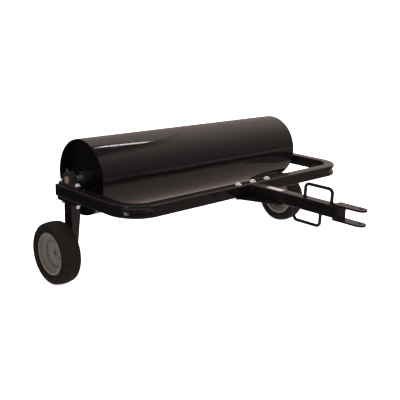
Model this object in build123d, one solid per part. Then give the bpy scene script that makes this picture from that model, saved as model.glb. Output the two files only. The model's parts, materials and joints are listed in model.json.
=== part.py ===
"""Flip-over tow-behind lawn roller, standing on its two transport wheels.

Millimetres, +Z up, +X to the machine's right, the tongue points along -Y.
Every piece is drawn about the middle of the drum axle, and placed() then lifts it
so that the origin lies on the ground below the middle of the whole machine.
"""
from build123d import *
import math
import os

os.makedirs("parts", exist_ok=True)

INCH = 25.4

# Drum
DRUM_R = 16 * INCH / 2
DRUM_LENGTH = 60 * INCH
SHELL_WALL = 5.0
END_RECESS = 70.0
END_PLATE_T = 6.0
HUB_R = 31.0
HUB_LENGTH = 64.0
HUB_PROUD = 48.0
SHAFT_R = INCH / 2
SHAFT_HALF = 862.0
FILL_HOLE_R = 24.0
FILL_BUNG_R = 31.0
FILL_RADIUS = 125.0

# Frame tube
TUBE = 2.5 * INCH
TUBE_WALL = 4.8
TUBE_CORNER = 7.0
FRAME_HALF_WIDTH = 860.0
FRAME_FRONT = 539.0
FRAME_REAR = 88.0
BEND_R = 5.25 * INCH
BEND_DENT = 13.0
CAP_FLANGE = 5.0
CAP_PLUG = 5.0

# Pillow block bearings
AXLE_HEIGHT = 36.5
BLOCK_HALF_LENGTH = 88.0
BLOCK_BASE_WIDTH = 40.0
BLOCK_FOOT = 15.0
BLOCK_BODY = 34.0
BLOCK_R = 41.0
BLOCK_BOLT_Y = 70.0
SEAT_R = 26.0
RACE_INNER_R = 16.9
RACE_OUTER_R = 22.4
BALL_R = 3.97
BALL_PITCH_R = 19.75
BALL_COUNT = 9
RACE_GAP = 0.06
RING_HALF = 8.5
INSERT_IN = 12.0
INSERT_OUT = 22.0

# Bolts: half-inch hexagon bolts throughout
BOLT_R = 6.35
BOLT_HOLE_R = 6.8
BOLT_HEAD_AF = 19.05
BOLT_HEAD_H = 8.0
NUT_H = 11.0
BOLT_PAST_NUT = 9.0
WASHER_R = 14.0
WASHER_T = 2.5

# Legs and axles
LEG_PLATE_T = 20.0
LEG_PLATE_EDGE_X = 853.0
LEG_OUTER_X = 846.0
LEG_WIDTH = 58.0
LEG_DEPTH = 70.0
LEG_SHEET = 6.0
LEG_FOOT_WIDTH = 33.0
LEG_TAPER_START = 170.0
LEG_FOOT_BELOW_AXLE = 28.0
WHEEL_DROP = 380.0
WHEEL_X = 919.0
AXLE_R = 0.75 * INCH / 2
AXLE_THREAD_R = 7.9
AXLE_COLLAR_R = 16.0

# Wheels: u is measured outboard from the wheel's middle plane
TYRE_R = 167.5
TYRE_HALF = 53.0
RIM_FLANGE_R = 113.5
RIM_HALF = 42.0
RIM_SHEET = 3.0
BEAD_SEAT_R = 103.0
WELL_R = 84.0
WHEEL_HUB_R = 21.0
WHEEL_HUB_BORE_R = 12.7
WHEEL_HUB_OUT = 11.0
WHEEL_HUB_IN = 53.0
BUSH_LENGTH = 17.0
BUSH_RECESS = 8.0
RUNNING_GAP = 0.05

# Tongue, hitch plate and clevis
TONGUE_END = 1101.5
END_PLATE_THICK = 10.0
EAR_T = 10.0
EAR_REAR = 1076.0
PIN_Y = 1213.0
PIN_HOLE_R = 13 / 16 * INCH / 2
HITCH_OFFSET = 22.0
HITCH_BOLT_SPACING = 117.0
HITCH_PLATE_T = INCH / 4
HITCH_PLATE_HALF = 152.0
HITCH_PLATE_FRONT = 760.0
HITCH_PLATE_TIP_HALF = 38.0

# Round-bar loops on the tongue
LOOP_ROD_R = 0.6875 * INCH / 2
LOOP_SPACING = 163.0
LOOP_HEIGHT = 70.5
LOOP_BEND_R = 22.0
UPPER_LOOP_Y = 964.5
LOWER_LOOP_Y = 903.5

# Worked out from the values above
TUBE_TOP = -AXLE_HEIGHT
TUBE_BOTTOM = TUBE_TOP - TUBE
TUBE_MID_Z = TUBE_TOP - TUBE / 2
SIDE_X = FRAME_HALF_WIDTH - TUBE / 2
FRONT_Y = -(FRAME_FRONT - TUBE / 2)
LEG_TOP = TUBE_BOTTOM - LEG_PLATE_T
EAR_R = TUBE / 2
AXLE_Y = (PIN_Y + EAR_R - DRUM_R) / 2
AXLE_Z = WHEEL_DROP + TYRE_R

SIDES = {"left": -1, "right": 1}


def placed(shape):
    """Move a shape from drum-axle coordinates to the machine's own origin."""
    return Pos(0, AXLE_Y, AXLE_Z) * shape


def save(shape, node):
    export_step(placed(shape), f"parts/{node}.step")


def group(solids):
    return Compound(children=list(solids))


def disc_x(radius, x_from, x_to):
    """Cylinder along X between two stations."""
    length = x_to - x_from
    return Pos((x_from + x_to) / 2, 0, 0) * Rot(0, 90, 0) * Cylinder(radius, length)


def rod_z(radius, z_from, z_to):
    """Cylinder along Z between two heights."""
    return Pos(0, 0, (z_from + z_to) / 2) * Cylinder(radius, z_to - z_from)


def box(x, y, z):
    """Box from three (low, high) pairs."""
    size = Box(x[1] - x[0], y[1] - y[0], z[1] - z[0])
    return Pos(sum(x) / 2, sum(y) / 2, sum(z) / 2) * size


def turned(points):
    """Solid turned about the X axis from (x, radius) points joined by straight lines."""
    outline = Polyline([(x, r) for x, r in points], close=True)
    return revolve(Plane.XY * make_face(outline), Axis.X, 360)


def hexagon(across_flats, height):
    corner_r = across_flats / math.sqrt(3)
    return extrude(RegularPolygon(corner_r, 6), height)


# ---------------------------------------------------------------- drum

def drum_shell():
    half = DRUM_LENGTH / 2
    shell = disc_x(DRUM_R, -half, half) - disc_x(DRUM_R - SHELL_WALL, -half - 1, half + 1)
    rims = shell.edges().filter_by(GeomType.CIRCLE)
    return chamfer(rims, 0.8)


def drum_end_plate(side):
    """Disc set back inside the shell; the right one has the filler hole."""
    outer = DRUM_LENGTH / 2 - END_RECESS
    plate = disc_x(DRUM_R - SHELL_WALL, outer - END_PLATE_T, outer)
    plate -= disc_x(HUB_R, outer - END_PLATE_T - 1, outer + 1)
    if side > 0:
        bore = disc_x(FILL_BUNG_R, outer - END_PLATE_T - 1, outer + 1)
        plate -= Pos(0, 0, FILL_RADIUS) * bore
    return plate if side > 0 else mirror(plate, Plane.YZ)


def drum_hub():
    """Boss welded through the end plate and pressed on the shaft."""
    face = DRUM_LENGTH / 2 - END_RECESS + HUB_PROUD
    hub = disc_x(HUB_R, face - HUB_LENGTH, face) - disc_x(SHAFT_R, face - HUB_LENGTH - 1, face + 1)
    rim = hub.edges().filter_by(GeomType.CIRCLE).group_by(Axis.X)[-1]
    return chamfer(rim, 1.5)


def drum_shaft():
    shaft = disc_x(SHAFT_R, -SHAFT_HALF, SHAFT_HALF)
    return chamfer(shaft.edges().filter_by(GeomType.CIRCLE), 1.5)


def fill_bung():
    """Threaded collar that closes the filler hole's rim."""
    outer = DRUM_LENGTH / 2 - END_RECESS
    ring = disc_x(FILL_BUNG_R, outer - END_PLATE_T, outer + 16)
    ring -= disc_x(FILL_HOLE_R, outer - END_PLATE_T - 1, outer + 17)
    return Pos(0, 0, FILL_RADIUS) * ring


def fill_plug():
    """Square-headed pipe plug."""
    outer = DRUM_LENGTH / 2 - END_RECESS
    body = disc_x(FILL_HOLE_R, outer - 2, outer + 18)
    head = box((outer + 18, outer + 30), (-13, 13), (-13, 13))
    return Pos(0, 0, FILL_RADIUS) * (body + head)


# ---------------------------------------------------------------- frame

def dented_section(plane, inset, dent):
    """Square tube section whose outer wall, towards local +X, is pushed in by dent."""
    h = TUBE / 2 - inset
    r = TUBE_CORNER - inset
    flat = h - r
    wall = Spline(
        [(h, flat), (h - dent / 2, flat / 3), (h - dent, 0), (h - dent / 2, -flat / 3), (h, -flat)],
        tangents=[(0, -1), (0, -1)],
    )
    outline = [
        wall,
        RadiusArc((h, -flat), (flat, -h), r),
        Line((flat, -h), (-flat, -h)),
        RadiusArc((-flat, -h), (-h, -flat), r),
        Line((-h, -flat), (-h, flat)),
        RadiusArc((-h, flat), (-flat, h), r),
        Line((-flat, h), (flat, h)),
        RadiusArc((flat, h), (h, flat), r),
    ]
    return plane * make_face(Wire(outline))


def bend_body(inset):
    """Left front corner of the frame: the outer wall folds inwards along the bend."""
    centre = Vector(-(SIDE_X - BEND_R), FRONT_Y + BEND_R, TUBE_MID_Z)
    sections = []
    for turn in (0, 9, 22.5, 45, 67.5, 81, 90):
        angle = math.radians(180 + turn)
        out = Vector(math.cos(angle), math.sin(angle), 0)
        along = Vector(-math.sin(angle), math.cos(angle), 0)
        plane = Plane(origin=centre + out * BEND_R, x_dir=out, z_dir=along)
        dent = BEND_DENT * math.sin(math.radians(2 * turn)) ** 0.8 if 0 < turn < 90 else 0
        sections.append(dented_section(plane, inset, dent))
    return loft(sections)


def frame_body(inset):
    """Solid envelope of the U-bent tube, drawn inset by a wall thickness if asked."""
    size = TUBE - 2 * inset
    r = TUBE_CORNER - inset
    rear_profile = Plane.XZ * RectangleRounded(size, size, r)
    side_length = FRAME_REAR - (FRONT_Y + BEND_R)
    side = Pos(-SIDE_X, FRAME_REAR, TUBE_MID_Z) * extrude(rear_profile, side_length)
    front_profile = Plane.YZ * RectangleRounded(size, size, r)
    front_half = SIDE_X - BEND_R
    front = Pos(-front_half, FRONT_Y, TUBE_MID_Z) * extrude(front_profile, 2 * front_half)
    left = side + bend_body(inset)
    return left + front + mirror(left, Plane.YZ)


def frame_tube():
    tube = frame_body(0) - frame_body(TUBE_WALL)
    drill = rod_z(BOLT_HOLE_R, TUBE_BOTTOM - 1, TUBE_TOP + 1)
    for side in SIDES.values():
        for y in (-BLOCK_BOLT_Y, BLOCK_BOLT_Y):
            tube -= Pos(side * SIDE_X, y, 0) * drill
    for place in hitch_bolt_places():
        tube -= place * drill
    return tube


def frame_end_cap(side):
    """Plastic plug that closes the open rear end of a side tube."""
    flange = extrude(RectangleRounded(TUBE, TUBE, TUBE_CORNER), CAP_FLANGE)
    flange = chamfer(flange.edges().group_by(Axis.Z)[-1], 1.2)
    inner = TUBE - 2 * TUBE_WALL
    plug = extrude(RectangleRounded(inner, inner, TUBE_CORNER - TUBE_WALL), -CAP_PLUG)
    cap = Rot(-90, 0, 0) * (flange + plug)
    return Pos(side * SIDE_X, FRAME_REAR, TUBE_MID_Z) * cap


# ---------------------------------------------------------------- bearings

def bearing_housing():
    """Cast two-bolt pillow block about the origin, shaft along X."""
    base = Pos(0, 0, TUBE_TOP) * extrude(
        RectangleRounded(BLOCK_BASE_WIDTH, 2 * BLOCK_HALF_LENGTH, 15), BLOCK_FOOT)
    base = chamfer(base.edges().group_by(Axis.Z)[-1], 2.0)
    neck = BLOCK_R * math.sqrt(0.75)
    flank = Polyline([(-54, TUBE_TOP + 8), (54, TUBE_TOP + 8), (neck, BLOCK_R / 2), (-neck, BLOCK_R / 2)],
                     close=True)
    below = Pos(0, TUBE_TOP - BLOCK_R) * Rectangle(4 * BLOCK_R, 2 * BLOCK_R)
    profile = Plane.YZ * (make_face(flank) + Circle(BLOCK_R) - below)
    body = Pos(-BLOCK_BODY / 2, 0, 0) * extrude(profile, BLOCK_BODY)
    housing = base + body - grease_axis() * rod_z(3.0, 10, BLOCK_R + 4)
    for y in (-BLOCK_BOLT_Y, BLOCK_BOLT_Y):
        housing -= Pos(0, y, 0) * rod_z(BOLT_HOLE_R, TUBE_TOP - 1, TUBE_TOP + BLOCK_FOOT + 1)
    return housing - Rot(0, 0, 90) * Sphere(SEAT_R + RUNNING_GAP)


def bearing_outer_ring():
    ring = Sphere(SEAT_R) & disc_x(SEAT_R + 1, -RING_HALF, RING_HALF)
    ring -= disc_x(RACE_OUTER_R, -RING_HALF - 1, RING_HALF + 1)
    return ring - Rot(0, 90, 0) * Torus(BALL_PITCH_R, BALL_R + RACE_GAP)


def bearing_inner_ring():
    """Long inner ring; its end towards +X carries the set screws."""
    ring = disc_x(RACE_INNER_R, -INSERT_IN, INSERT_OUT) - disc_x(SHAFT_R, -INSERT_IN - 1, INSERT_OUT + 1)
    ring -= Rot(0, 90, 0) * Torus(BALL_PITCH_R, BALL_R + RACE_GAP)
    for screw in set_screws():
        ring -= screw
    return ring


def set_screws():
    """Two M6 screws a third of a turn apart, bearing on the shaft."""
    screw = Pos(INSERT_OUT - 4.5, 0, 0) * rod_z(3.0, SHAFT_R, RACE_INNER_R + 1.2)
    return [Rot(turn, 0, 0) * screw for turn in (30, 150)]


def bearing_balls():
    step = 360 / BALL_COUNT
    return [Rot(step * i, 0, 0) * Pos(0, 0, BALL_PITCH_R) * Sphere(BALL_R) for i in range(BALL_COUNT)]


def bearing_shields():
    """Plated steel shields pressed in both sides of the outer ring."""
    lip = disc_x(RACE_OUTER_R, 6.6, 7.8) - disc_x(RACE_INNER_R + 0.3, 6, 8.5)
    return [lip, mirror(lip, Plane.YZ)]


def grease_axis():
    """The nipple leans outboard out of the block's crown."""
    return Rot(0, 17, 0)


def grease_fitting():
    """Straight nipple screwed in the crown of the block."""
    seat = BLOCK_R + 3.7
    shank = rod_z(3.0, SEAT_R + 3, seat)
    nut = Pos(0, 0, seat) * hexagon(9.0, 4.5)
    stem = rod_z(2.4, seat + 4.5, seat + 12)
    tip = Pos(0, 0, seat + 12.5) * Sphere(3.2)
    return grease_axis() * (shank + nut + stem + tip)


# ---------------------------------------------------------------- fasteners

def hex_bolt(head_under, tip):
    """Bolt along Z: the head stands on head_under and the shank ends at tip."""
    head = Pos(0, 0, head_under) * hexagon(BOLT_HEAD_AF, BOLT_HEAD_H)
    crown = Pos(0, 0, head_under) * Cone(
        BOLT_HEAD_AF / 2 + BOLT_HEAD_H + 0.6, BOLT_HEAD_AF / 2 + 0.6, BOLT_HEAD_H,
        align=(Align.CENTER, Align.CENTER, Align.MIN))
    shank = rod_z(BOLT_R, tip, head_under)
    shank = chamfer(shank.edges().filter_by(GeomType.CIRCLE).group_by(Axis.Z)[0], 1.2)
    return (head & crown) + shank


def hex_nut(top):
    return Pos(0, 0, top - NUT_H) * (hexagon(BOLT_HEAD_AF, NUT_H) - rod_z(BOLT_R, -1, NUT_H + 1))


def washer(bottom):
    return rod_z(WASHER_R, bottom, bottom + WASHER_T) - rod_z(BOLT_HOLE_R, bottom - 1, bottom + WASHER_T + 1)


def bearing_bolt_places():
    """Bolt centres in the order left rear, left front, right rear, right front."""
    return {name: [Pos(side * SIDE_X, y, 0) for y in (BLOCK_BOLT_Y, -BLOCK_BOLT_Y)]
            for name, side in SIDES.items()}


def hitch_bolt_places():
    """Three bolts through the front tube, centred to the right of the tongue."""
    return [Pos(HITCH_OFFSET + step * HITCH_BOLT_SPACING, FRONT_Y, 0) for step in (-1, 0, 1)]


# ---------------------------------------------------------------- legs and wheels

def leg_outline(clear):
    """Side view of a leg in XZ, x measured inboard from its outer face; clear insets the pocket."""
    foot = -(WHEEL_DROP + LEG_FOOT_BELOW_AXLE) + clear
    inner = 1 if clear else 0
    return Polyline([
        (clear, LEG_TOP),
        (LEG_WIDTH + inner, LEG_TOP),
        (LEG_WIDTH + inner, -LEG_TAPER_START),
        (LEG_FOOT_WIDTH + inner, foot),
        (clear, foot),
    ], close=True)


def wheel_leg():
    """Pressed channel, open inboard, whose flanges narrow towards the axle."""
    depth = LEG_DEPTH / 2
    solid = extrude(Plane.XZ * make_face(leg_outline(0)), depth, both=True)
    foot_edges = solid.edges().filter_by(Axis.X).group_by(Axis.Z)[0]
    solid = fillet(foot_edges, 18)
    corners = solid.edges().filter_by(Axis.Z).group_by(Axis.X)[0]
    solid = fillet(corners, 5)
    pocket = extrude(Plane.XZ * make_face(leg_outline(LEG_SHEET)), depth - LEG_SHEET, both=True)
    channel = solid - pocket
    channel -= Pos(0, 0, -WHEEL_DROP) * disc_x(AXLE_THREAD_R, -1, LEG_SHEET + 1)
    return Pos(-LEG_OUTER_X, 0, 0) * channel


def leg_top_plate():
    width = (-LEG_PLATE_EDGE_X, LEG_WIDTH - LEG_OUTER_X)
    plate = box(width, (-BLOCK_HALF_LENGTH, BLOCK_HALF_LENGTH), (LEG_TOP, TUBE_BOTTOM))
    plate = fillet(plate.edges().filter_by(Axis.Z), 5)
    for y in (-BLOCK_BOLT_Y, BLOCK_BOLT_Y):
        plate -= Pos(-SIDE_X, y, 0) * rod_z(BOLT_HOLE_R, LEG_TOP - 1, TUBE_BOTTOM + 1)
    return plate


def outboard(u):
    """Distance from the leg's outer face out to a station on the left wheel."""
    return WHEEL_X + u - LEG_OUTER_X


def on_left_axle(shape):
    """Place a part drawn outboard along +X from the leg's face on the left leg."""
    return Pos(-LEG_OUTER_X, 0, -WHEEL_DROP) * mirror(shape, Plane.YZ)


COLLAR_END = 16.4
RING_U = WHEEL_HUB_OUT - BUSH_RECESS + 0.6
RING_T = 1.2


def wheel_axle():
    """Stub axle with a collar, a threaded end through the leg and a clip groove."""
    thread = disc_x(AXLE_THREAD_R, -LEG_SHEET - 17, 0)
    collar = disc_x(AXLE_COLLAR_R, 0, COLLAR_END)
    journal = disc_x(AXLE_R, COLLAR_END, outboard(8.0))
    journal = chamfer(journal.edges().filter_by(GeomType.CIRCLE).group_by(Axis.X)[-1], 1.2)
    groove = disc_x(AXLE_R + 1, outboard(RING_U), outboard(RING_U + RING_T))
    groove -= disc_x(AXLE_R - 0.8, outboard(RING_U) - 1, outboard(RING_U + RING_T) + 1)
    return on_left_axle(thread + collar + journal - groove)


def axle_retaining_ring():
    """Open spring clip in the axle's groove."""
    start, end = outboard(RING_U), outboard(RING_U + RING_T)
    ring = disc_x(AXLE_R + 2.6, start, end) - disc_x(AXLE_R - 0.8, start - 1, end + 1)
    ring -= box((start - 1, end + 1), (-3, 3), (0, AXLE_R + 4))
    return on_left_axle(ring)


def axle_washer():
    ring = disc_x(20.0, COLLAR_END, COLLAR_END + 3) - disc_x(AXLE_R, COLLAR_END - 1, COLLAR_END + 4)
    return on_left_axle(ring)


def axle_nut():
    nut = Pos(-LEG_SHEET, 0, 0) * Rot(0, -90, 0) * hexagon(24.0, 13.0)
    return on_left_axle(nut - disc_x(AXLE_THREAD_R, -LEG_SHEET - 14, 0))


def on_left_wheel(shape):
    """Place a part drawn about the wheel's middle plane, outboard along +X."""
    return Pos(-WHEEL_X, 0, -WHEEL_DROP) * mirror(shape, Plane.YZ)


def wheel_tyre():
    """Hollow pneumatic tyre with plain sidewalls and a crowned tread."""
    shoulder, crown = 42.0, 162.0
    outer_side = Spline([(RIM_HALF - RIM_SHEET, RIM_FLANGE_R + 0.8), (47, 118.5), (TYRE_HALF, 138), (50, 153),
                         (shoulder, crown)])
    tread = ThreePointArc((shoulder, crown), (0, TYRE_R), (-shoulder, crown))
    inner_side = Spline([(30, 108), (40, 120), (45.5, 138), (43, 149), (36, 155)])
    liner = ThreePointArc((36, 155), (0, 160), (-36, 155))
    bead = Polyline([(30, 108), (27, BEAD_SEAT_R), (RIM_HALF - RIM_SHEET, BEAD_SEAT_R),
                     (RIM_HALF - RIM_SHEET, RIM_FLANGE_R + 0.8)])
    across = Plane.YZ
    outline = [outer_side, tread, inner_side, liner, bead]
    outline += [mirror(edge, across) for edge in (outer_side, inner_side, bead)]
    section = Wire.combine([e for item in outline for e in item.edges()])[0]
    return on_left_wheel(revolve(make_face(section), Axis.X, 360))


def wheel_rim():
    """Pressed drop-centre barrel with the dished disc welded in its well."""
    seat, well, t = BEAD_SEAT_R, WELL_R, RIM_SHEET
    outer_half = [(RIM_HALF, seat - t), (RIM_HALF, RIM_FLANGE_R), (RIM_HALF - t, RIM_FLANGE_R),
                  (RIM_HALF - t, seat), (25, seat), (15, well)]
    inner_half = [(16.6, well - t), (26.6, seat - t)]
    barrel = turned(outer_half + [(-x, r) for x, r in reversed(outer_half)]
                    + [(-x, r) for x, r in reversed(inner_half)] + inner_half)
    rise = [(12, 78), (5, 78), (2, 75), (2, 64), (9, 56), (9, 40), (6, WHEEL_HUB_R)]
    back = [(3, WHEEL_HUB_R), (6, 40), (6, 54.5), (-1, 62.5), (-1, 76), (2, 81), (12, 81)]
    disc = turned(rise + back)
    rim = barrel + disc
    lips = rim.edges().filter_by(GeomType.CIRCLE).filter_by(lambda e: e.radius > RIM_FLANGE_R - 0.1)
    rim = fillet(lips, 1.2)
    return on_left_wheel(rim - valve_bore())


def valve_path():
    """Where the valve passes the barrel's sloping wall, and the way it points."""
    return Pos(21, -93.5, 0) * Rot(0, 0, 25.3) * Rot(0, 90, 0)


def valve_bore():
    return valve_path() * Cylinder(5.7, 14)


def valve_stem():
    """Rubber snap-in stem with its cap, pointing outboard and towards the axle."""
    base = rod_z(7.5, -6, -2.2)
    neck = rod_z(5.7, -2.2, 4)
    stem = Pos(0, 0, 9) * Cone(5.7, 4.2, 10)
    cap = rod_z(4.4, 14, 22)
    return on_left_wheel(valve_path() * (base + neck + stem + cap) - valve_clearance())


def valve_clearance():
    """The sheet round the bore, so that the stem's root only touches it."""
    seat, well, t = BEAD_SEAT_R, WELL_R, RIM_SHEET
    wall = turned([(RIM_HALF, seat - t), (RIM_HALF, seat), (25, seat), (15, well), (10, well),
                   (10, well - t), (16.6, well - t), (26.6, seat - t)])
    return wall - valve_bore()


def wheel_hub():
    hub = disc_x(WHEEL_HUB_R, -WHEEL_HUB_IN, WHEEL_HUB_OUT)
    hub -= disc_x(WHEEL_HUB_BORE_R, -WHEEL_HUB_IN - 1, WHEEL_HUB_OUT + 1)
    rims = hub.edges().filter_by(GeomType.CIRCLE).group_by(Axis.X)
    return on_left_wheel(chamfer(rims[0] + rims[-1], 1.0))


def wheel_bushes():
    """Two plain sleeves pressed in the hub; the outboard one sits back from the hub's face."""
    bush = disc_x(WHEEL_HUB_BORE_R, 0, BUSH_LENGTH) - disc_x(AXLE_R + RUNNING_GAP, -1, BUSH_LENGTH + 1)
    outer = Pos(WHEEL_HUB_OUT - BUSH_RECESS - BUSH_LENGTH, 0, 0) * bush
    inner = Pos(-WHEEL_HUB_IN, 0, 0) * bush
    return [on_left_wheel(outer), on_left_wheel(inner)]


# ---------------------------------------------------------------- tongue

def tongue_tube():
    size = RectangleRounded(TUBE, TUBE, TUBE_CORNER)
    inner = TUBE - 2 * TUBE_WALL
    ring = size - RectangleRounded(inner, inner, TUBE_CORNER - TUBE_WALL)
    length = TONGUE_END - FRAME_FRONT
    return Pos(0, -FRAME_FRONT, TUBE_MID_Z) * extrude(Plane.XZ * ring, length)


def tongue_end_plate():
    """Plate that closes the tongue between the clevis ears."""
    return box((-EAR_R, EAR_R), (-TONGUE_END - END_PLATE_THICK, -TONGUE_END), (TUBE_BOTTOM, TUBE_TOP))


def clevis_ear(bottom):
    """Flat strap with a full-round end and the hitch pin hole."""
    plan = Pos(0, -PIN_Y) * Circle(EAR_R)
    strap = Pos(0, -(EAR_REAR + PIN_Y) / 2) * Rectangle(2 * EAR_R, PIN_Y - EAR_REAR)
    hole = Pos(0, -PIN_Y) * Circle(PIN_HOLE_R)
    ear = Pos(0, 0, bottom) * extrude(plan + strap - hole, EAR_T)
    return chamfer(ear.edges().group_by(Axis.Z)[-1], 0.8)


def hitch_plate():
    """Trapezoid under the front tube that the tongue is welded to."""
    rear = -(FRAME_FRONT - TUBE)
    shoulder = -FRAME_FRONT - 4
    left = HITCH_OFFSET - HITCH_PLATE_HALF
    right = HITCH_OFFSET + HITCH_PLATE_HALF
    tip = HITCH_PLATE_TIP_HALF
    outline = Polyline([(left, rear), (left, shoulder), (-tip, -HITCH_PLATE_FRONT),
                        (tip, -HITCH_PLATE_FRONT), (right, shoulder), (right, rear)], close=True)
    plate = Pos(0, 0, TUBE_BOTTOM - HITCH_PLATE_T) * extrude(make_face(outline), HITCH_PLATE_T)
    for place in hitch_bolt_places():
        plate -= place * rod_z(BOLT_HOLE_R, TUBE_BOTTOM - HITCH_PLATE_T - 1, TUBE_BOTTOM + 1)
    return fillet(plate.edges().filter_by(Axis.Z).group_by(Axis.Y)[-1], 6)


def tongue_loop():
    """Round bar bent to a U that stands on the XY plane, legs along Y."""
    half = LOOP_SPACING / 2
    path = FilletPolyline([(0, -half, 0), (0, -half, LOOP_HEIGHT), (0, half, LOOP_HEIGHT), (0, half, 0)],
                          radius=LOOP_BEND_R)
    return sweep(Plane.XY * Pos(0, -half) * Circle(LOOP_ROD_R), path=path)


# ---------------------------------------------------------------- write every node

def save_pair(shape, node):
    """Write the left-hand shape and its mirror image."""
    save(shape, f"{node}_left")
    save(mirror(shape, Plane.YZ), f"{node}_right")


def save_group_pair(shapes, node):
    save(group(shapes), f"{node}_left")
    save(group([mirror(shape, Plane.YZ) for shape in shapes]), f"{node}_right")


def both_sides(shapes):
    """One group with the left-hand shapes and their mirror images."""
    return group(shapes + [mirror(shape, Plane.YZ) for shape in shapes])


def at_left_bearing(shape):
    """Place a bearing part drawn with its outboard side towards +X."""
    return Pos(-SIDE_X, 0, 0) * mirror(shape, Plane.YZ)


def write_drum():
    save(drum_shell(), "drum_shell")
    for name, side in SIDES.items():
        save(drum_end_plate(side), f"drum_end_plate_{name}")
    save_pair(mirror(drum_hub(), Plane.YZ), "drum_hub")
    save(drum_shaft(), "drum_shaft")
    save(fill_bung(), "drum_fill_bung")
    save(fill_plug(), "drum_fill_plug")


def write_frame():
    save(frame_tube(), "frame_tube")
    for name, side in SIDES.items():
        save(frame_end_cap(side), f"frame_end_cap_{name}")


def write_bearings():
    save_pair(at_left_bearing(bearing_housing()), "bearing_housing")
    save_pair(at_left_bearing(bearing_outer_ring()), "bearing_outer_ring")
    save_pair(at_left_bearing(bearing_inner_ring()), "bearing_inner_ring")
    save_group_pair([at_left_bearing(ball) for ball in bearing_balls()], "bearing_balls")
    save_group_pair([at_left_bearing(shield) for shield in bearing_shields()], "bearing_shields")
    save(both_sides([at_left_bearing(screw) for screw in set_screws()]), "bearing_set_screws")
    save(both_sides([at_left_bearing(grease_fitting())]), "grease_fittings")


def write_bearing_fasteners():
    foot_top = TUBE_TOP + BLOCK_FOOT
    nut_top = LEG_TOP - WASHER_T
    bolt = hex_bolt(foot_top + WASHER_T, nut_top - NUT_H - BOLT_PAST_NUT)
    washers = []
    for name, places in bearing_bolt_places().items():
        save(group([place * bolt for place in places]), f"bearing_bolts_{name}")
        save(group([place * hex_nut(nut_top) for place in places]), f"bearing_nuts_{name}")
        washers += [place * washer(height) for place in places for height in (foot_top, nut_top)]
    save(group(washers), "bearing_bolt_washers")


def write_legs_and_wheels():
    save_pair(leg_top_plate(), "leg_top_plate")
    save_pair(wheel_leg(), "wheel_leg")
    save_pair(wheel_axle(), "wheel_axle")
    save_pair(axle_nut(), "axle_nut")
    save_pair(axle_washer(), "axle_washer")
    save_pair(axle_retaining_ring(), "axle_retaining_ring")
    save_pair(wheel_hub(), "wheel_hub")
    save_group_pair(wheel_bushes(), "wheel_bushes")
    save_pair(wheel_rim(), "wheel_rim")
    save_pair(wheel_tyre(), "wheel_tyre")
    save_pair(valve_stem(), "valve_stem")


def write_tongue():
    save(tongue_tube(), "tongue_tube")
    save(tongue_end_plate(), "tongue_end_plate")
    save(clevis_ear(TUBE_TOP), "clevis_ear_upper")
    save(mirror(clevis_ear(TUBE_TOP), Plane.XY.offset(TUBE_MID_Z)), "clevis_ear_lower")
    save(hitch_plate(), "hitch_plate")
    loop = tongue_loop()
    save(Pos(0, -UPPER_LOOP_Y, TUBE_TOP) * loop, "tongue_loop_upper")
    save(Pos(0, -LOWER_LOOP_Y, TUBE_BOTTOM) * mirror(loop, Plane.XY), "tongue_loop_lower")


def write_hitch_fasteners():
    nut_top = TUBE_BOTTOM - HITCH_PLATE_T - WASHER_T
    bolt = hex_bolt(TUBE_TOP + WASHER_T, nut_top - NUT_H - BOLT_PAST_NUT / 2)
    places = hitch_bolt_places()
    save(group([place * bolt for place in places]), "hitch_bolts")
    save(group([place * hex_nut(nut_top) for place in places]), "hitch_nuts")
    save(group([place * washer(height) for place in places for height in (TUBE_TOP, nut_top)]), "hitch_washers")


write_drum()
write_frame()
write_bearings()
write_bearing_fasteners()
write_legs_and_wheels()
write_tongue()
write_hitch_fasteners()
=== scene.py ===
"""Looks of the tow-behind lawn roller: materials, fine mesh detail, light and camera.

Metres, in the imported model's own frame: +X to the machine's right along the drum's axle,
-Y forward along the tongue, +Z up, with the origin on the ground below the machine.
"""
import json
import math

import bmesh
import bpy
from mathutils import Matrix, Vector, noise


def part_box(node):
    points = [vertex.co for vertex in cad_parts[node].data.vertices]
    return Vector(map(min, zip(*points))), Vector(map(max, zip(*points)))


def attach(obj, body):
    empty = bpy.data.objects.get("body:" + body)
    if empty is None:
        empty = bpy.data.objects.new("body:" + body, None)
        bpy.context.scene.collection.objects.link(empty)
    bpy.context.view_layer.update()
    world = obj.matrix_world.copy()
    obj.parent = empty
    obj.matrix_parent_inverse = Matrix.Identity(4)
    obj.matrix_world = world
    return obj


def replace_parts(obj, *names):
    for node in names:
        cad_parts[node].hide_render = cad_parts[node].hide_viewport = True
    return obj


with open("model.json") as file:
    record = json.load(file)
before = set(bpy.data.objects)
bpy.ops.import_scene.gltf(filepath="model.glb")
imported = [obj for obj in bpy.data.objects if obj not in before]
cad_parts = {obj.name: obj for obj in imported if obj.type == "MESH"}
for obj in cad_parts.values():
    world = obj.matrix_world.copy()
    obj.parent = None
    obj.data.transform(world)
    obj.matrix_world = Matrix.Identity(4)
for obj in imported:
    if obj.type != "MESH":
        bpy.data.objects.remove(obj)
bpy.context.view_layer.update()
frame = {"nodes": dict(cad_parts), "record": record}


def middle(node):
    """Centre of a node's box."""
    low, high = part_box(node)
    return (low + high) / 2


SIDES = ("left", "right")
AXLE = middle("drum_shaft")
WHEELS = {side: middle(f"wheel_tyre_{side}") for side in SIDES}


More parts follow.
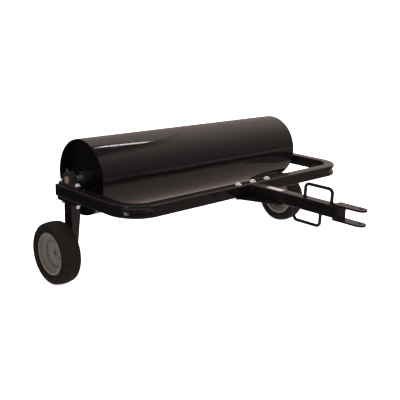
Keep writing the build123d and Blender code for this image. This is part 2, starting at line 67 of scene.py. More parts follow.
# ---------------------------------------------------------------- materials
class Surface:
    """One node material: a Principled shader with helpers for the patterns that drive it."""

    def __init__(self, name, **sockets):
        self.material = bpy.data.materials.new(name)
        self.material.use_nodes = True
        self.tree = self.material.node_tree
        self.shader = self.tree.nodes["Principled BSDF"]
        for socket, value in sockets.items():
            self.shader.inputs[socket.replace("_", " ")].default_value = value
        self.place = self.node("ShaderNodeTexCoord").outputs["Object"]

    def node(self, kind, **settings):
        made = self.tree.nodes.new(kind)
        for key, value in settings.items():
            setattr(made, key, value)
        return made

    def feed(self, made, **inputs):
        """Set or link a node's inputs by name and return the node."""
        for key, value in inputs.items():
            socket = made.inputs[key.replace("_", " ")]
            if isinstance(value, bpy.types.NodeSocket):
                self.tree.links.new(value, socket)
            else:
                socket.default_value = value
        return made

    def drive(self, socket, output):
        """Link an output to one of the shader's sockets."""
        self.tree.links.new(output, self.shader.inputs[socket])

    def noise(self, scale, detail=3.0, roughness=0.55):
        made = self.feed(self.node("ShaderNodeTexNoise"), Vector=self.place, Scale=scale,
                         Detail=detail, Roughness=roughness)
        return made.outputs["Fac"]

    def remap(self, value, low, high, to_low, to_high):
        made = self.feed(self.node("ShaderNodeMapRange"), Value=value, From_Min=low, From_Max=high,
                         To_Min=to_low, To_Max=to_high)
        return made.outputs["Result"]

    def mix(self, factor, first, second):
        """Blend two colours, given as RGB values or sockets."""
        made = self.node("ShaderNodeMix", data_type="RGBA")
        for index, value in ((0, factor), (6, first), (7, second)):
            if isinstance(value, bpy.types.NodeSocket):
                self.tree.links.new(value, made.inputs[index])
            else:
                made.inputs[index].default_value = value if index == 0 else (*value, 1.0)
        return made.outputs[2]

    def maths(self, operation, first, second=0.0):
        made = self.node("ShaderNodeMath", operation=operation)
        for index, value in enumerate((first, second)):
            if isinstance(value, bpy.types.NodeSocket):
                self.tree.links.new(value, made.inputs[index])
            else:
                made.inputs[index].default_value = value
        return made.outputs[0]

    def bump(self, *layers):
        """Stack (height, depth in metres) layers into the shader's normal."""
        normal = None
        for height, depth in layers:
            made = self.feed(self.node("ShaderNodeBump"), Height=height, Distance=depth, Strength=1.0)
            if normal is not None:
                self.tree.links.new(normal, made.inputs["Normal"])
            normal = made.outputs["Normal"]
        self.drive("Normal", normal)

    def edges(self, radius):
        """0 on flat faces, rising to 1 where an edge is nearer than radius."""
        bevel = self.feed(self.node("ShaderNodeBevel", samples=6), Radius=radius)
        geometry = self.node("ShaderNodeNewGeometry")
        dot = self.node("ShaderNodeVectorMath", operation="DOT_PRODUCT")
        self.tree.links.new(bevel.outputs["Normal"], dot.inputs[0])
        self.tree.links.new(geometry.outputs["Normal"], dot.inputs[1])
        return self.remap(dot.outputs["Value"], 0.995, 0.9, 0.0, 1.0)


def black_paint():
    """Gloss black powder coat with orange peel, faint cloudiness, settled dust and rubbed edges."""
    s = Surface("black_paint", IOR=1.45, Roughness=0.08)
    cloud = s.noise(7.0, 4.0)
    dust = s.remap(s.noise(420.0, 2.0, 0.7), 0.64, 0.82, 0.0, 0.5)
    wear = s.maths("MULTIPLY", s.edges(0.0016), s.remap(s.noise(55.0, 4.0, 0.7), 0.5, 0.72, 0.0, 0.7))
    coat = s.mix(dust, (0.0035, 0.0030, 0.0029), (0.012, 0.0105, 0.0098))
    s.drive("Base Color", s.mix(wear, coat, (0.055, 0.050, 0.046)))
    haze = s.remap(cloud, 0.3, 0.7, 0.05, 0.10)
    s.drive("Roughness", s.maths("ADD", haze, s.maths("MULTIPLY", wear, 0.25)))
    s.bump((s.noise(300.0, 1.0), 0.000006), (s.noise(4.0, 2.0), 0.0004))
    return s.material


def black_casting():
    """Sand-cast iron under black paint, with the grain showing through and bare high spots."""
    s = Surface("black_casting", IOR=1.48, Roughness=0.4)
    grain = s.noise(900.0, 4.0, 0.7)
    worn = s.maths("MULTIPLY", s.edges(0.002), s.remap(s.noise(140.0, 3.0), 0.42, 0.66, 0.0, 0.8))
    skin = s.mix(s.noise(60.0), (0.005, 0.0043, 0.0038), (0.012, 0.0105, 0.0092))
    s.drive("Base Color", s.mix(worn, skin, (0.11, 0.10, 0.09)))
    s.drive("Roughness", s.remap(grain, 0.3, 0.7, 0.26, 0.46))
    s.bump((grain, 0.0003), (s.noise(120.0, 2.0), 0.0004))
    return s.material


def metal(name, colour, tint, low, high, scale=300.0):
    """Bare or plated metal with fine drawn lines, patchy tarnish and a milky skin."""
    s = Surface(name, Metallic=0.55)
    patch = s.remap(s.noise(45.0, 4.0), 0.35, 0.7, 0.0, 1.0)
    grime = s.remap(s.noise(160.0, 5.0, 0.7), 0.58, 0.76, 0.0, 0.55)
    s.drive("Base Color", s.mix(grime, s.mix(patch, colour, tint), tuple(0.35 * part for part in tint)))
    s.drive("Roughness", s.remap(s.noise(scale, 3.0), 0.3, 0.7, low, high))
    s.bump((s.noise(scale * 4, 2.0), 0.00002))
    return s.material


def bright_zinc():
    """New zinc plating with a milky skin that scatters light."""
    s = Surface("bright_zinc", Metallic=0.4, IOR=1.6)
    patch = s.remap(s.noise(60.0, 4.0), 0.35, 0.7, 0.0, 1.0)
    s.drive("Base Color", s.mix(patch, (0.74, 0.72, 0.70), (0.52, 0.50, 0.47)))
    s.drive("Roughness", s.remap(s.noise(300.0, 3.0), 0.3, 0.7, 0.22, 0.36))
    s.bump((s.noise(1200.0, 2.0), 0.00002))
    return s.material


def rubber(name, low, high, colour, dusty, specular=0.5):
    """Moulded rubber with a fine grain and dust in its low spots."""
    s = Surface(name, IOR=1.5, Roughness=0.6, Specular_IOR_Level=specular)
    dust = s.remap(s.noise(30.0, 5.0, 0.65), 0.35, 0.75, 0.0, 1.0)
    s.drive("Base Color", s.mix(dust, colour, dusty))
    s.drive("Roughness", s.remap(s.noise(90.0), 0.3, 0.7, low, high))
    s.bump((s.noise(1500.0, 2.0), 0.00004), (s.noise(250.0, 2.0), 0.00006))
    return s.material


def plastic():
    """Moulded polyethylene with a spark-eroded grain."""
    s = Surface("black_plastic", IOR=1.48, Roughness=0.45)
    s.drive("Base Color", s.mix(s.noise(80.0), (0.012, 0.011, 0.011), (0.018, 0.017, 0.016)))
    s.drive("Roughness", s.remap(s.noise(500.0), 0.3, 0.7, 0.38, 0.55))
    s.bump((s.noise(1200.0, 2.0), 0.00006))
    return s.material


def silver_paint():
    """Satin silver wheel enamel, dusty in places."""
    s = Surface("silver_paint", Metallic=0.6, Roughness=0.38)
    flake = s.remap(s.noise(2600.0, 1.0), 0.4, 0.6, 0.0, 0.25)
    enamel = s.mix(s.noise(25.0, 5.0), (0.175, 0.148, 0.128), (0.25, 0.215, 0.188))
    s.drive("Base Color", s.mix(flake, enamel, (0.36, 0.33, 0.30)))
    s.drive("Roughness", s.remap(s.noise(120.0, 3.0), 0.3, 0.7, 0.30, 0.42))
    s.bump((s.noise(900.0, 2.0), 0.00003), (s.noise(60.0, 2.0), 0.0001))
    return s.material


def decal_film():
    """Faded plain vinyl."""
    s = Surface("decal_film", IOR=1.46, Roughness=0.35)
    faded = s.remap(s.noise(90.0, 4.0), 0.4, 0.7, 0.0, 1.0)
    s.drive("Base Color", s.mix(faded, (0.42, 0.36, 0.345), (0.27, 0.22, 0.21)))
    s.drive("Roughness", s.remap(s.noise(200.0), 0.3, 0.7, 0.28, 0.45))
    s.bump((s.noise(700.0, 2.0), 0.00002))
    return s.material


MATERIALS = {
    "black_paint": black_paint(),
    "black_casting": black_casting(),
    "bare_steel": metal("bare_steel", (0.50, 0.47, 0.44), (0.34, 0.31, 0.27), 0.22, 0.38),
    "zinc": metal("zinc", (0.82, 0.81, 0.80), (0.66, 0.64, 0.60), 0.2, 0.34),
    "yellow_zinc": metal("yellow_zinc", (0.46, 0.32, 0.14), (0.30, 0.21, 0.10), 0.24, 0.42),
    "bright_zinc": bright_zinc(),
    "dull_steel": metal("dull_steel", (0.19, 0.17, 0.155), (0.10, 0.088, 0.078), 0.3, 0.45),
    # Very dark steel: painted shade, so the axle ends read as the shade inside the wheel hubs' deep bores.
    "bore_shade_steel": metal("bore_shade_steel", (0.10, 0.085, 0.07), (0.05, 0.042, 0.036), 0.35, 0.5),
    "bronze": metal("bronze", (0.45, 0.28, 0.14), (0.32, 0.21, 0.12), 0.3, 0.45),
    "black_plastic": plastic(),
    "black_rubber": rubber("black_rubber", 0.5, 0.7, (0.012, 0.012, 0.012), (0.02, 0.019, 0.018)),
    "tyre_rubber": rubber("tyre_rubber", 0.58, 0.75, (0.0070, 0.0042, 0.0032), (0.0125, 0.0080, 0.0062),
                          specular=0.15),
    "silver_paint": silver_paint(),
    "decal_film": decal_film(),
}

# Nodes whose surface differs from their slot's usual one.
FINISH_OF = {"hitch_bolts": "bright_zinc", "hitch_nuts": "bright_zinc", "grease_fittings": "dull_steel"}
for side in SIDES:
    FINISH_OF[f"bearing_inner_ring_{side}"] = "yellow_zinc"
    # The wheel axles, their retaining rings and bushes get the very dark steel: painted shade of the hubs'
    # deep bores.
    for node in ("wheel_axle", "axle_retaining_ring", "wheel_bushes"):
        FINISH_OF[f"{node}_{side}"] = "bore_shade_steel"

for part in frame["record"]["subparts"]:
    mesh = frame["nodes"][part["node"]].data
    mesh.materials.clear()
    mesh.materials.append(MATERIALS[FINISH_OF.get(part["node"], part["material_slot"])])


# ---------------------------------------------------------------- fine pieces
def mm(x, y, z):
    """Millimetres from the middle of the drum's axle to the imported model's frame."""
    return AXLE + Vector((x, y, z)) / 1000


def size_of(node):
    """A node's low and high corner in millimetres from the middle of the drum's axle."""
    low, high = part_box(node)
    return (Vector(low) - AXLE) * 1000, (Vector(high) - AXLE) * 1000


def piece(name, bm, body, slot, material=None, crease=35):
    """Turn a bmesh into a shaded object that rides on a body."""
    bmesh.ops.recalc_face_normals(bm, faces=bm.faces)
    made_mesh = bpy.data.meshes.new(name)
    bm.to_mesh(made_mesh)
    bm.free()
    made_mesh.shade_smooth()
    made_mesh.set_sharp_from_angle(angle=math.radians(crease))
    made_mesh.materials.append(MATERIALS[material or slot])
    made = bpy.data.objects.new(name, made_mesh)
    bpy.context.scene.collection.objects.link(made)
    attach(made, body)
    return made


def bridge(bm, rings, closed=True):
    """Faces between rings of vertices that follow each other, each ring a closed outline."""
    pairs = list(zip(rings, rings[1:]))
    if closed:
        pairs.append((rings[-1], rings[0]))
    for here, there in pairs:
        count = len(here)
        for i in range(count):
            j = (i + 1) % count
            bm.faces.new((here[i], here[j], there[j], there[i]))


def revolve(bm, outline, steps, axis, about=(0.0, 0.0)):
    """Turn a closed outline of (place along the axis, radius) about an axis along X or Z."""
    rings = []
    for step in range(steps):
        turn = 2 * math.pi * step / steps
        ring = []
        for along, r in outline:
            first = about[0] + r * math.cos(turn)
            second = about[1] + r * math.sin(turn)
            place = (along, first, second) if axis == "X" else (first, second, along)
            ring.append(bm.verts.new(mm(*place)))
        rings.append(ring)
    bridge(bm, rings)


def smooth_run(points, steps):
    """Catmull-Rom curve through points, with steps spans between neighbours."""
    padded = [points[0]] + list(points) + [points[-1]]
    run = []
    for before, start, end, after in zip(padded, padded[1:], padded[2:], padded[3:]):
        for step in range(steps):
            t = step / steps
            run.append(tuple(
                0.5 * (2 * b + (c - a) * t + (2 * a - 5 * b + 4 * c - d) * t ** 2
                       + (3 * b - a - 3 * c + d) * t ** 3)
                for a, b, c, d in zip(before, start, end, after)))
    return run + [points[-1]]


# The tyre, in millimetres from the wheel's middle plane (u) and from its axle (r).
TREAD_HALF = 42.0
TREAD_R = 167.5
CROWN_DROP = 5.5
GROOVES = (11.0, 30.0)
GROOVE_DEPTH = 1.5
GROOVE_HALF = 1.2
GROOVE_FLOOR_HALF = 0.8
LIP = 0.5
LIP_DROP = 0.2
SIDEWALL = [(42.0, 161.6), (50.0, 153.0), (53.0, 138.0), (47.0, 118.5), (39.0, 114.3)]
# Radius, half width and height of the raised rings on the sidewall.
SIDE_RINGS = ((150.0, 1.6, 0.5), (134.0, 1.2, 0.45), (122.5, 1.8, 0.8))
BEAD_SEAT = [(39.0, 103.0), (27.0, 103.0), (30.0, 108.0)]
INNER_WALL = [(30.0, 108.0), (40.0, 120.0), (45.5, 138.0), (43.0, 149.0), (36.0, 155.0)]
INNER_CROWN = [(24.0, 158.2), (12.0, 159.6), (0.0, 160.0)]
TYRE_STEPS = 264
NOTCH_EVERY = 6
NOTCH_STEPS = 2
NOTCH_DEPTH = 1.0
NOTCH_FROM_U = 36.0
NOTCH_TO_U = 50.5
NOTCH_ABOVE_R = 152.0


def tread_height(u):
    return TREAD_R - CROWN_DROP * (u / TREAD_HALF) ** 2


def tyre_outline():
    """Half section of the tyre: from the crown to the bead outside, and back along the inside."""
    tread = [(0.0, TREAD_R), (4.5, tread_height(4.5))]
    for groove in GROOVES:
        lip = tread_height(groove) - LIP_DROP
        floor_r = tread_height(groove) - GROOVE_DEPTH
        outer = groove + GROOVE_HALF + LIP
        inner = groove - GROOVE_HALF - LIP
        tread += [(inner, tread_height(inner)), (groove - GROOVE_HALF, lip),
                  (groove - GROOVE_FLOOR_HALF, floor_r), (groove + GROOVE_FLOOR_HALF, floor_r),
                  (groove + GROOVE_HALF, lip), (outer, tread_height(outer)),
                  (groove + 5.0, tread_height(groove + 5.0))]
        if groove == GROOVES[0]:
            tread.append((22.0, tread_height(22.0)))
    tread.append((40.0, tread_height(40.0) - 0.1))
    side = []
    for u, r in smooth_run(SIDEWALL, 8):
        lift = sum(height * max(0.0, 1.0 - abs(r - place) / width) for place, width, height in SIDE_RINGS)
        side.append((u + lift, r))
    return tread + side + BEAD_SEAT + smooth_run(INNER_WALL, 4)[1:] + INNER_CROWN


def tyre(side):
    """Ribbed tread with notched shoulders and raised rings on the sidewalls, over the CAD tyre's form."""
    half = tyre_outline()
    section = half + [(-u, r) for u, r in reversed(half) if u > 0]
    bm = bmesh.new()
    rings = []
    for step in range(TYRE_STEPS):
        turn = 2 * math.pi * step / TYRE_STEPS
        notch = NOTCH_DEPTH if step % NOTCH_EVERY < NOTCH_STEPS else 0.0
        ring = []
        for u, r in section:
            on_shoulder = NOTCH_FROM_U < abs(u) < NOTCH_TO_U and r > NOTCH_ABOVE_R
            reach = r - notch if on_shoulder else r
            spoke = Vector((u, reach * math.cos(turn), reach * math.sin(turn)))
            ring.append(bm.verts.new(WHEELS[side] + spoke / 1000))
        rings.append(ring)
    bridge(bm, rings)
    made = piece(f"tyre_{side}", bm, f"{side}_wheel", "tyre_rubber", crease=28)
    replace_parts(made, f"wheel_tyre_{side}")


# Welds: directions across a bead, its facets and the pitch of its ripples in metres.
UP = (0, 0, 1)
ACROSS = (1, 0, 0)
BEAD_SIDES = 8
RIPPLE_PITCH = 0.0032


def bead(bm, centres, normals, radius, closed, seed):
    """Rippled weld metal laid along a run of points; normals lie across the run."""
    length = 0.0
    rings = []
    count = len(centres)
    for i, (centre, across) in enumerate(zip(centres, normals)):
        before = centres[i - 1] if i or closed else centre
        after = centres[(i + 1) % count] if i + 1 < count or closed else centre
        tangent = (after - before).normalized()
        other = tangent.cross(across).normalized()
        if i:
            length += (centre - centres[i - 1]).length
        wander = noise.noise(Vector((seed, length * 90, 0.0)))
        ripple = abs(math.cos(math.pi * length / RIPPLE_PITCH))
        size = radius * (0.84 + 0.12 * ripple + 0.16 * wander)
        if not closed:
            fade = min(i, count - 1 - i) / 2.0
            size *= min(1.0, 0.25 + 0.75 * fade)
        rings.append([bm.verts.new(centre + (across * math.cos(a) + other * math.sin(a)) * size)
                      for a in (2 * math.pi * k / BEAD_SIDES for k in range(BEAD_SIDES))])
    bridge(bm, rings, closed)
    if not closed:
        bm.faces.new(rings[0])
        bm.faces.new(rings[-1])


def straight_bead(bm, start, end, radius, across):
    run = end - start
    count = max(4, int(run.length / 0.0013))
    centres = [start + run * (i / count) for i in range(count + 1)]
    seed = start.x * 40 + start.y * 17 + start.z * 9
    bead(bm, centres, [Vector(across)] * len(centres), radius, False, seed)


def round_bead(bm, centre, axis, ring_radius, radius):
    """Bead round a circle about the X or Z axis."""
    count = int(2 * math.pi * ring_radius / 0.0016)
    centres = []
    normals = []
    for i in range(count):
        turn = 2 * math.pi * i / count
        first, second = math.cos(turn), math.sin(turn)
        out = Vector((0.0, first, second) if axis == "X" else (first, second, 0.0))
        centres.append(centre + out * ring_radius)
        normals.append(out)
    bead(bm, centres, normals, radius, True, centre.x * 31 + centre.y * 13)


def weld_group(name, body, lines=(), rounds=()):
    """Straight beads are (start, end, radius, across) and round ones are (centre, axis, ring, radius)."""
    bm = bmesh.new()
    for start, end, radius, across in lines:
        straight_bead(bm, mm(*start), mm(*end), radius / 1000, across)
    for centre, axis, ring_radius, radius in rounds:
        round_bead(bm, mm(*centre), axis, ring_radius / 1000, radius / 1000)
    piece(name, bm, body, "black_paint", crease=70)


def hitch_welds():
    """Beads round the tongue's root, under the hitch plate, at the clevis ears and at the loops' feet."""
    tube_low, tube_high = size_of("tongue_tube")
    x, rear, front = tube_high.x, tube_high.y, tube_low.y
    top, bottom = tube_high.z, tube_low.z
    weld_group("weld_tongue_to_frame", "frame", lines=[
        ((-x + 6, rear - 0.5, top - 2.0), (x - 6, rear - 0.5, top - 2.0), 4.0, UP),
        *[((s * x, rear - 1.0, top - 8), (s * x, rear - 1.0, bottom + 2), 3.6, ACROSS) for s in (-1, 1)],
    ])
    plate_front = size_of("hitch_plate")[0].y
    low_edge = bottom + 1.0
    weld_group("weld_tongue_to_plate", "frame", lines=[
        *[((s * (x - 1.0), rear - 10, low_edge), (s * (x - 1.0), plate_front + 4, low_edge), 3.8, UP)
          for s in (-1, 1)],
        ((-x + 8, plate_front + 0.5, bottom), (x - 8, plate_front + 0.5, bottom), 3.6, UP),
    ])
    ear_rear = size_of("clevis_ear_upper")[1].y
    edges = []
    for level in (top, bottom):
        edges.append(((-x + 4, ear_rear, level), (x - 4, ear_rear, level), 3.6, UP))
        edges += [((s * (x - 1.5), ear_rear - 2, level), (s * (x - 1.5), front - 8, level), 3.4, ACROSS)
                  for s in (-1, 1)]
    edges += [((s * x, front, top - 8), (s * x, front, bottom + 8), 3.2, ACROSS) for s in (-1, 1)]
    weld_group("weld_clevis", "frame", lines=edges)
    feet = []
    for node, level in (("tongue_loop_upper", top), ("tongue_loop_lower", bottom)):
        low, high = size_of(node)
        bar = (high.x - low.x) / 2
        feet += [((0, y, level), "Z", bar + 0.6, 3.2) for y in (low.y + bar, high.y - bar)]
    weld_group("weld_loops", "frame", rounds=feet)


def leg_and_end_welds(side):
    """Beads between a leg and its top plate, and round a drum end plate and its hub."""
    low, high = size_of(f"wheel_leg_{side}")
    outer = low.x if side == "left" else high.x
    weld_group(f"weld_leg_{side}", "frame", lines=[
        *[((low.x, y, high.z), (high.x, y, high.z), 3.8, UP) for y in (low.y, high.y)],
        ((outer, low.y + 4, high.z), (outer, high.y - 4, high.z), 3.8, UP),
    ])
    low, high = size_of(f"drum_end_plate_{side}")
    face = low.x if side == "left" else high.x
    hub_r = size_of(f"drum_hub_{side}")[1].z
    weld_group(f"weld_drum_end_{side}", "drum", rounds=[
        ((face, 0, 0), "X", high.z - 1.0, 4.2),
        ((face, 0, 0), "X", hub_r + 0.5, 4.5),
    ])


def drum_welds():
    """The shell's long seam and the bead round the filler bung."""
    low, high = size_of("drum_shell")
    seam = math.radians(-42)
    out_y, out_z = math.cos(seam), math.sin(seam)
    reach = high.z - 1.3
    weld_group("weld_drum_seam", "drum", lines=[
        ((low.x + 3, reach * out_y, reach * out_z), (high.x - 3, reach * out_y, reach * out_z),
         2.2, (0, out_y, out_z)),
    ])
    low, high = size_of("drum_fill_bung")
    face = size_of("drum_end_plate_right")[1].x
    weld_group("weld_fill_bung", "drum", rounds=[
        ((face, 0, (low.z + high.z) / 2), "X", (high.y - low.y) / 2 + 0.4, 3.4),
    ])


# Half-inch screw thread, and the nuts that it runs through, in millimetres.
THREAD_ROOT_R = 6.3
THREAD_CREST_R = 6.75
THREAD_PITCH = 1.95
THREAD_START = 1.6
NUT_HALF_FLATS = 9.525
NUT_HALF_CORNERS = 11


def thread_rings(name, node, nuts, places):
    """Ridges of the screw thread on the length of each bolt that stands out below its nut."""
    level_from = size_of(node)[0].z + THREAD_START
    nut_face = size_of(nuts)[0].z
    bm = bmesh.new()
    for place in places:
        level = level_from
        while level + THREAD_PITCH < nut_face:
            ridge = [(level, THREAD_ROOT_R), (level + THREAD_PITCH / 2, THREAD_CREST_R),
                     (level + THREAD_PITCH, THREAD_ROOT_R)]
            revolve(bm, ridge, 28, "Z", place)
            level += THREAD_PITCH
    piece(name, bm, "frame", "zinc", crease=20)


def threads():
    """The nuts have their corners along X and their flats along Y."""
    for side in SIDES:
        low, high = size_of(f"bearing_nuts_{side}")
        x = (low.x + high.x) / 2
        spots = [(x, y) for y in (low.y + NUT_HALF_FLATS, high.y - NUT_HALF_FLATS)]
        thread_rings(f"bearing_bolt_threads_{side}", f"bearing_bolts_{side}", f"bearing_nuts_{side}", spots)
    low, high = size_of("hitch_nuts")
    y = (low.y + high.y) / 2
    spots = [(x, y) for x in (low.x + NUT_HALF_CORNERS, (low.x + high.x) / 2, high.x - NUT_HALF_CORNERS)]
    thread_rings("hitch_bolt_threads", "hitch_bolts", "hitch_nuts", spots)


WASHER_EXTRA_R = 3.5
WASHER_HOLE_R = 6.6
WASHER_ROUND = 0.5


def washers():
    """Three wide washers with rounded edges under the hitch bolts' heads."""
    low, high = size_of("hitch_washers")
    reach = (high.y - low.y) / 2
    y = (low.y + high.y) / 2
    outer = reach + WASHER_EXTRA_R
    under, over = low.z + 0.02, high.z - 0.02
    outline = [(under, WASHER_HOLE_R), (under, outer - WASHER_ROUND), (low.z + 0.17, outer - 0.15),
               (low.z + WASHER_ROUND, outer), (high.z - WASHER_ROUND, outer), (high.z - 0.17, outer - 0.15),
               (over, outer - WASHER_ROUND), (over, WASHER_HOLE_R)]
    bm = bmesh.new()
    for x in (low.x + reach, (low.x + high.x) / 2, high.x - reach):
        revolve(bm, outline, 72, "Z", (x, y))
    made = piece("hitch_washer_set", bm, "frame", "zinc", material="bright_zinc")
    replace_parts(made, "hitch_washers")


# The drum's shaft and hubs, in millimetres.
SHAFT_PROUD = 3.0
SHAFT_CHAMFER = 1.2
DRILL_R = 3.2
DRILL_DEPTH = 4.0
DRILL_TIP_R = 0.4
HUB_EXTRA = 14.0
HUB_ROUND = 2.5
HUB_BORE_GAP = 0.05


def turned(name, node, outline, slot, material):
    """Piece turned about the drum's axis, in place of a node."""
    bm = bmesh.new()
    revolve(bm, outline, 64, "X")
    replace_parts(piece(name, bm, "drum", slot, material=material), node)


def drum_axle():
    """Through shaft with chamfered, centre-drilled ends just proud of the bearings, and two long hubs."""
    low, high = size_of("drum_shaft")
    shaft_r = (high.z - low.z) / 2
    end = SHAFT_PROUD - size_of("bearing_inner_ring_left")[0].x
    half = [(end - DRILL_DEPTH, DRILL_TIP_R), (end, DRILL_R), (end, shaft_r - SHAFT_CHAMFER),
            (end - SHAFT_CHAMFER, shaft_r)]
    whole = half + [(-x, r) for x, r in reversed(half)]
    turned("turned_shaft", "drum_shaft", whole, "bare_steel", "dull_steel")
    for side, sign in (("left", -1), ("right", 1)):
        low, high = size_of(f"drum_hub_{side}")
        hub_r = (high.z - low.z) / 2
        inner, cad_outer = sorted((abs(low.x), abs(high.x)))
        outer = cad_outer + HUB_EXTRA
        bore = shaft_r + HUB_BORE_GAP
        outline = [(inner, bore), (inner, hub_r), (outer - HUB_ROUND, hub_r),
                   (outer - 0.3 * HUB_ROUND, hub_r - 0.3 * HUB_ROUND), (outer, hub_r - HUB_ROUND),
                   (outer, shaft_r + 1.0), (outer - 1.0, bore)]
        mirrored = [(sign * x, r) for x, r in outline]
        turned(f"turned_hub_{side}", f"drum_hub_{side}", mirrored, "black_paint", "black_casting")


# Blank label on the tongue, in millimetres: half sizes, corner radius and distance ahead of the axle.
LABEL_HALF_X = 20.0
LABEL_HALF_Y = 50.0
LABEL_CORNER = 5.0
LABEL_Y = -690


def decal():
    """Blank vinyl label on the tongue's top."""
    top = size_of("tongue_tube")[1].z
    bm = bmesh.new()
    rings = []
    for level, inset in ((0.03, 0.0), (0.22, 0.0), (0.30, 0.12)):
        ring = []
        r = LABEL_CORNER - inset
        for quarter, (sx, sy) in enumerate(((1, 1), (-1, 1), (-1, -1), (1, -1))):
            for step in range(7):
                turn = math.radians(90 * quarter + 15 * step)
                x = sx * (LABEL_HALF_X - LABEL_CORNER) + r * math.cos(turn)
                y = LABEL_Y + sy * (LABEL_HALF_Y - LABEL_CORNER) + r * math.sin(turn)
                ring.append(bm.verts.new(mm(x, y, top + level)))
        rings.append(ring)
    bridge(bm, rings, closed=False)
    bm.faces.new(rings[0])
    bm.faces.new(rings[-1])
    piece("tongue_decal", bm, "frame", "silver_paint", material="decal_film")


for side in SIDES:
    tyre(side)
hitch_welds()
for side in SIDES:
    leg_and_end_welds(side)
drum_welds()
threads()
washers()
drum_axle()
decal()


# ---------------------------------------------------------------- studio
FLOOR_GLOW = 0.8
FLOOR_HALF = 60.0
FLOOR_IN_GLOSS = (0.50, 0.385, 0.355)


def stage_plane(name, corners, material):
    """Flat card that belongs to the studio and not to the object."""
    mesh = bpy.data.meshes.new(name)
    mesh.from_pydata(corners, [], [tuple(range(len(corners)))])
    mesh.materials.append(material)
    made = bpy.data.objects.new(name, mesh)
    bpy.context.scene.collection.objects.link(made)
    return made


def floor():
    """Pale floor; reflections see it in the warm grey of the room."""
    s = Surface("floor", Roughness=0.95, Specular_IOR_Level=0.0, Emission_Strength=FLOOR_GLOW)
    s.drive("Base Color", s.mix(s.noise(1.5), (0.90, 0.90, 0.90), (0.92, 0.92, 0.92)))
    s.shader.inputs["Emission Color"].default_value = (1.0, 1.0, 1.0, 1.0)
    seen = s.node("ShaderNodeLightPath")
    warm = s.feed(s.node("ShaderNodeEmission"), Color=(*FLOOR_IN_GLOSS, 1.0), Strength=1.0)
    choice = s.node("ShaderNodeMixShader")
    s.tree.links.new(seen.outputs["Is Glossy Ray"], choice.inputs[0])
    s.tree.links.new(s.shader.outputs[0], choice.inputs[1])
    s.tree.links.new(warm.outputs[0], choice.inputs[2])
    s.tree.links.new(choice.outputs[0], s.tree.nodes["Material Output"].inputs["Surface"])
    signs = ((-1, -1), (1, -1), (1, 1), (-1, 1))
    stage_plane("floor", [(x * FLOOR_HALF, y * FLOOR_HALF, 0) for x, y in signs], s.material)


# Elevation in degrees and colour of the walls that reflections see.
WALLS = [
    (-60, (0.80, 0.62, 0.57)),
    (-20, (0.62, 0.47, 0.43)),
    (2, (0.37, 0.285, 0.265)),
    (12, (0.50, 0.40, 0.37)),
    (22, (0.66, 0.53, 0.49)),
    (33, (0.86, 0.69, 0.65)),
    (48, (1.35, 1.12, 1.04)),
    (52, (0.43, 0.345, 0.315)),
    (66, (0.42, 0.34, 0.31)),
    (74, (2.0, 1.95, 1.9)),
    (90, (2.2, 2.15, 2.1)),
]
# Direction of the brightest wall, from +Y towards +X, and how fast the others fall off.
BRIGHT_SIDE = math.radians(68)
SIDE_FALLOFF = 1.7


def softbox(name, place, target, width, depth, power, along=(1.0, 0.0, 0.0)):
    """Rectangular light that faces its target, with its width along the given direction."""
    light = bpy.data.lights.new(name, "AREA")
    light.shape = "RECTANGLE"
    light.size, light.size_y = width, depth
    light.energy = power
    made = bpy.data.objects.new(name, light)
    made.location = place
    made.rotation_mode = "QUATERNION"
    out = (Vector(place) - Vector(target)).normalized()
    across = Vector(along)
    across = (across - out * across.dot(out)).normalized()
    made.rotation_quaternion = Matrix((across, out.cross(across), out)).transposed().to_quaternion()
    bpy.context.scene.collection.objects.link(made)
    return made


def studio_world():
    """White room; reflections see warm grey walls, brightest behind and right, under a darker ceiling."""
    world = bpy.data.worlds.new("studio")
    bpy.context.scene.world = world
    world.use_nodes = True
    world.cycles.sampling_method = "NONE"
    tree = world.node_tree

    def made(kind, **inputs):
        node = tree.nodes.new(kind)
        for key, value in inputs.items():
            socket = node.inputs[key.replace("_", " ")]
            if isinstance(value, bpy.types.NodeSocket):
                tree.links.new(value, socket)
            else:
                socket.default_value = value
        return node

    coords = made("ShaderNodeTexCoord").outputs["Generated"]
    split = made("ShaderNodeSeparateXYZ", Vector=coords)
    ramp = tree.nodes.new("ShaderNodeValToRGB")
    stops = ramp.color_ramp
    while len(stops.elements) < len(WALLS):
        stops.elements.new(0.5)
    for element, (elevation, colour) in zip(stops.elements, WALLS):
        element.position = (math.sin(math.radians(elevation)) + 1) / 2
        element.color = (*colour, 1.0)
    height = made("ShaderNodeMapRange", Value=split.outputs["Z"], From_Min=-1.0)
    tree.links.new(height.outputs["Result"], ramp.inputs["Fac"])
    facing = tree.nodes.new("ShaderNodeVectorMath")
    facing.operation = "DOT_PRODUCT"
    tree.links.new(coords, facing.inputs[0])
    facing.inputs[1].default_value = (math.sin(BRIGHT_SIDE), math.cos(BRIGHT_SIDE), 0.0)
    share = made("ShaderNodeMapRange", Value=facing.outputs["Value"], From_Min=-1.0)
    side = tree.nodes.new("ShaderNodeMath")
    side.operation = "POWER"
    side.inputs[1].default_value = SIDE_FALLOFF
    tree.links.new(share.outputs["Result"], side.inputs[0])
    scale = tree.nodes.new("ShaderNodeVectorMath")
    scale.operation = "SCALE"
    tree.links.new(ramp.outputs["Color"], scale.inputs[0])
    tree.links.new(side.outputs[0], scale.inputs["Scale"])
    path = made("ShaderNodeLightPath")
    seen = tree.nodes.new("ShaderNodeMix")
    seen.data_type = "RGBA"
    seen.inputs[6].default_value = (1.0, 1.0, 1.0, 1.0)
    tree.links.new(path.outputs["Is Glossy Ray"], seen.inputs[0])
    tree.links.new(scale.outputs["Vector"], seen.inputs[7])
    tree.links.new(seen.outputs[2], tree.nodes["Background"].inputs["Color"])


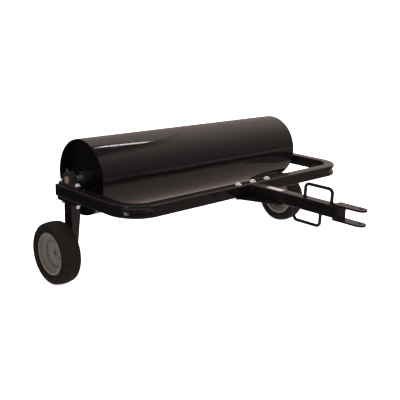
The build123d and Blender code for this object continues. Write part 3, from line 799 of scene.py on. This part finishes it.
def flag(name, corners, colour):
    """Dark card that only reflections see, like the flags that keep a gloss side dark."""
    s = Surface(name, Roughness=1.0, Specular_IOR_Level=0.0, Emission_Strength=1.0)
    s.shader.inputs["Base Color"].default_value = (0.0, 0.0, 0.0, 1.0)
    s.shader.inputs["Emission Color"].default_value = (*colour, 1.0)
    card = stage_plane(name, corners, s.material)
    card.visible_camera = False
    card.visible_diffuse = False
    card.visible_shadow = False


# Cards that reflections see: colour, height and corners, in metres.
FLAGS = {
    "left_flag": ((0.0, 0.0, 0.0), 0.004, [(-1.02, 0.0), (-5.5, 0.0), (-5.5, 7.0), (-1.02, 7.0)]),
    "wedge_flag": ((0.13, 0.10, 0.092), 3.92, [
        (1.40, 0.86), (1.30, -1.2), (1.72, -0.35), (2.08, 0.30), (3.31, 2.54), (2.62, 1.40), (2.2, 0.62)]),
    "right_flag": ((0.13, 0.10, 0.09), 0.008, [
        (1.26, 0.0), (1.26, -0.42), (1.9, -1.0), (2.7, -1.0), (2.7, 0.0)]),
    "front_flag": ((0.22, 0.165, 0.15), 0.004, [(-0.5, -0.75), (6.0, -0.75), (6.0, -6.0), (-0.5, -6.0)]),
}


def studio():
    """Broad soft light from above, a thin strip for the drum's streak and a small light at the left."""
    floor()
    studio_world()
    overhead = softbox("overhead", (0.0, 0.2, 4.2), (0.0, 0.2, 0.0), 4.0, 4.0, 200.0)
    overhead.visible_glossy = False
    softbox("strip", (1.85, 1.06, 3.9), AXLE, 0.68, 0.16, 5.5, along=(0.65, -0.42, 0.0))
    softbox("side", (-3.2, -0.5, 3.4), AXLE, 0.7, 0.7, 17.0)
    for name, (colour, height, corners) in FLAGS.items():
        flag(name, [(x, y, height) for x, y in corners], colour)


# The camera stands off the drum's axle, turned and raised as the angles say.
CAMERA_FROM_AXLE = Vector((-2.6363, -2.8161, 0.8267))
CAMERA_AZIMUTH = math.radians(-44.337)
CAMERA_ELEVATION = math.radians(15.588)
CAMERA_ROLL = math.radians(1.848)
CAMERA_LENS = 58.916


def camera():
    """Camera that looks the way its three angles say, with its roll about the line of sight."""
    data = bpy.data.cameras.new("camera")
    data.lens = CAMERA_LENS
    made = bpy.data.objects.new("camera", data)
    bpy.context.scene.collection.objects.link(made)
    back = Vector((math.sin(CAMERA_AZIMUTH) * math.cos(CAMERA_ELEVATION),
                   -math.cos(CAMERA_AZIMUTH) * math.cos(CAMERA_ELEVATION), math.sin(CAMERA_ELEVATION)))
    turn = (-back).to_track_quat("-Z", "Y").to_matrix().to_4x4()
    roll = Matrix.Rotation(CAMERA_ROLL, 4, "Z")
    made.matrix_world = Matrix.Translation(AXLE + CAMERA_FROM_AXLE) @ turn @ roll
    bpy.context.scene.camera = made


studio()
camera()
bpy.context.scene.view_settings.view_transform = "Standard"
